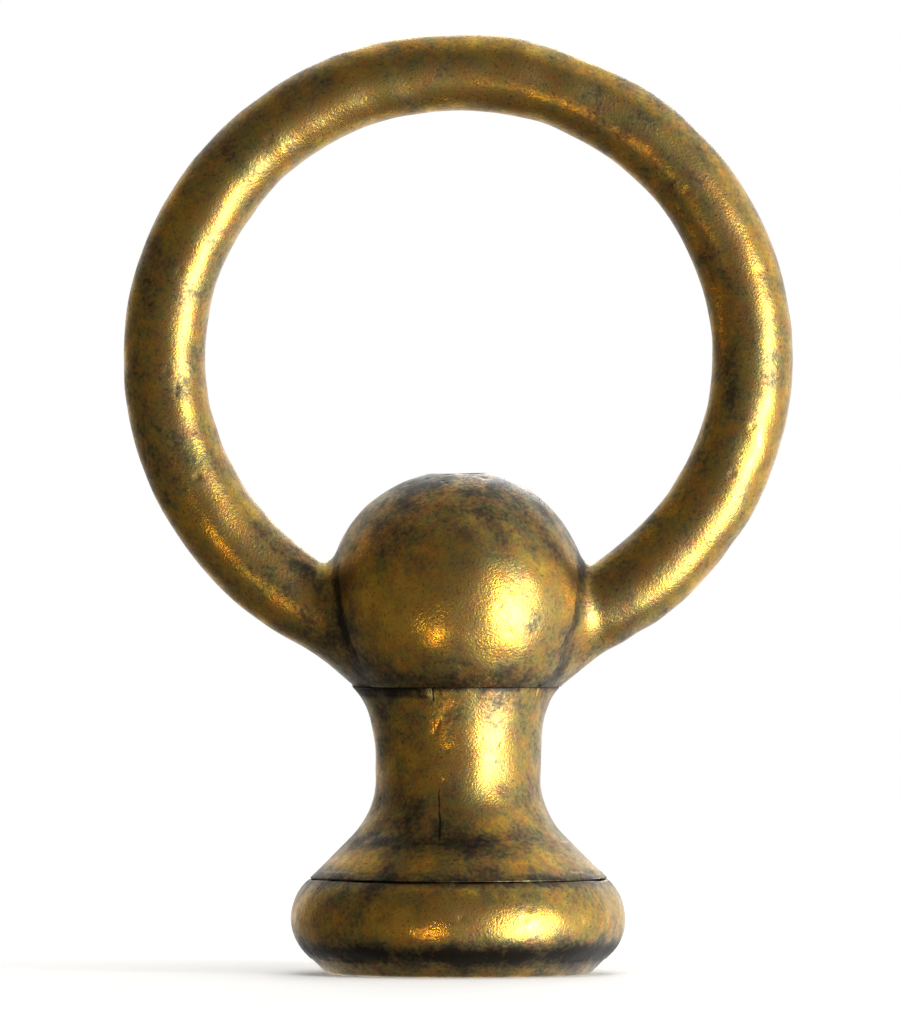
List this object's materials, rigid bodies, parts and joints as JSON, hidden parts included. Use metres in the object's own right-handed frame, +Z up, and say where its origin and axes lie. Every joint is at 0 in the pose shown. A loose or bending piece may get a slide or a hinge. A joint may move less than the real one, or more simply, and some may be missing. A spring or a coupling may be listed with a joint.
{
  "type": "lamp hanging loop",
  "caption": "Brass hanging loop for a lamp: a round ring on a ball, a waisted neck and a beaded foot, with a threaded wireway through the stem.",
  "frame": {"origin": "on the stem's axis, in the plane of the foot's flat underside", "axes": "+Z up the stem's axis through the ball to the top of the ring; the ring lies in the XZ plane, so +Y and -Y are its open faces"},
  "size_m": [0.0476, 0.0238, 0.0668],
  "materials": {
    "foot_brass": "aged satin, cast and turned",
    "neck_brass": "aged satin, cast and turned",
    "ball_brass": "aged satin, cast",
    "ring_brass": "aged satin, cast",
    "braze_brass": "dull, as brazed",
    "nipple_brass": "machined thread"
  },
  "bodies": {
    "root": {"foot": "foot_brass", "neck": "neck_brass", "ball": "ball_brass", "ring": "ring_brass", "braze_left": "braze_brass", "braze_right": "braze_brass", "nipple": "nipple_brass"}
  },
  "joints": []
}
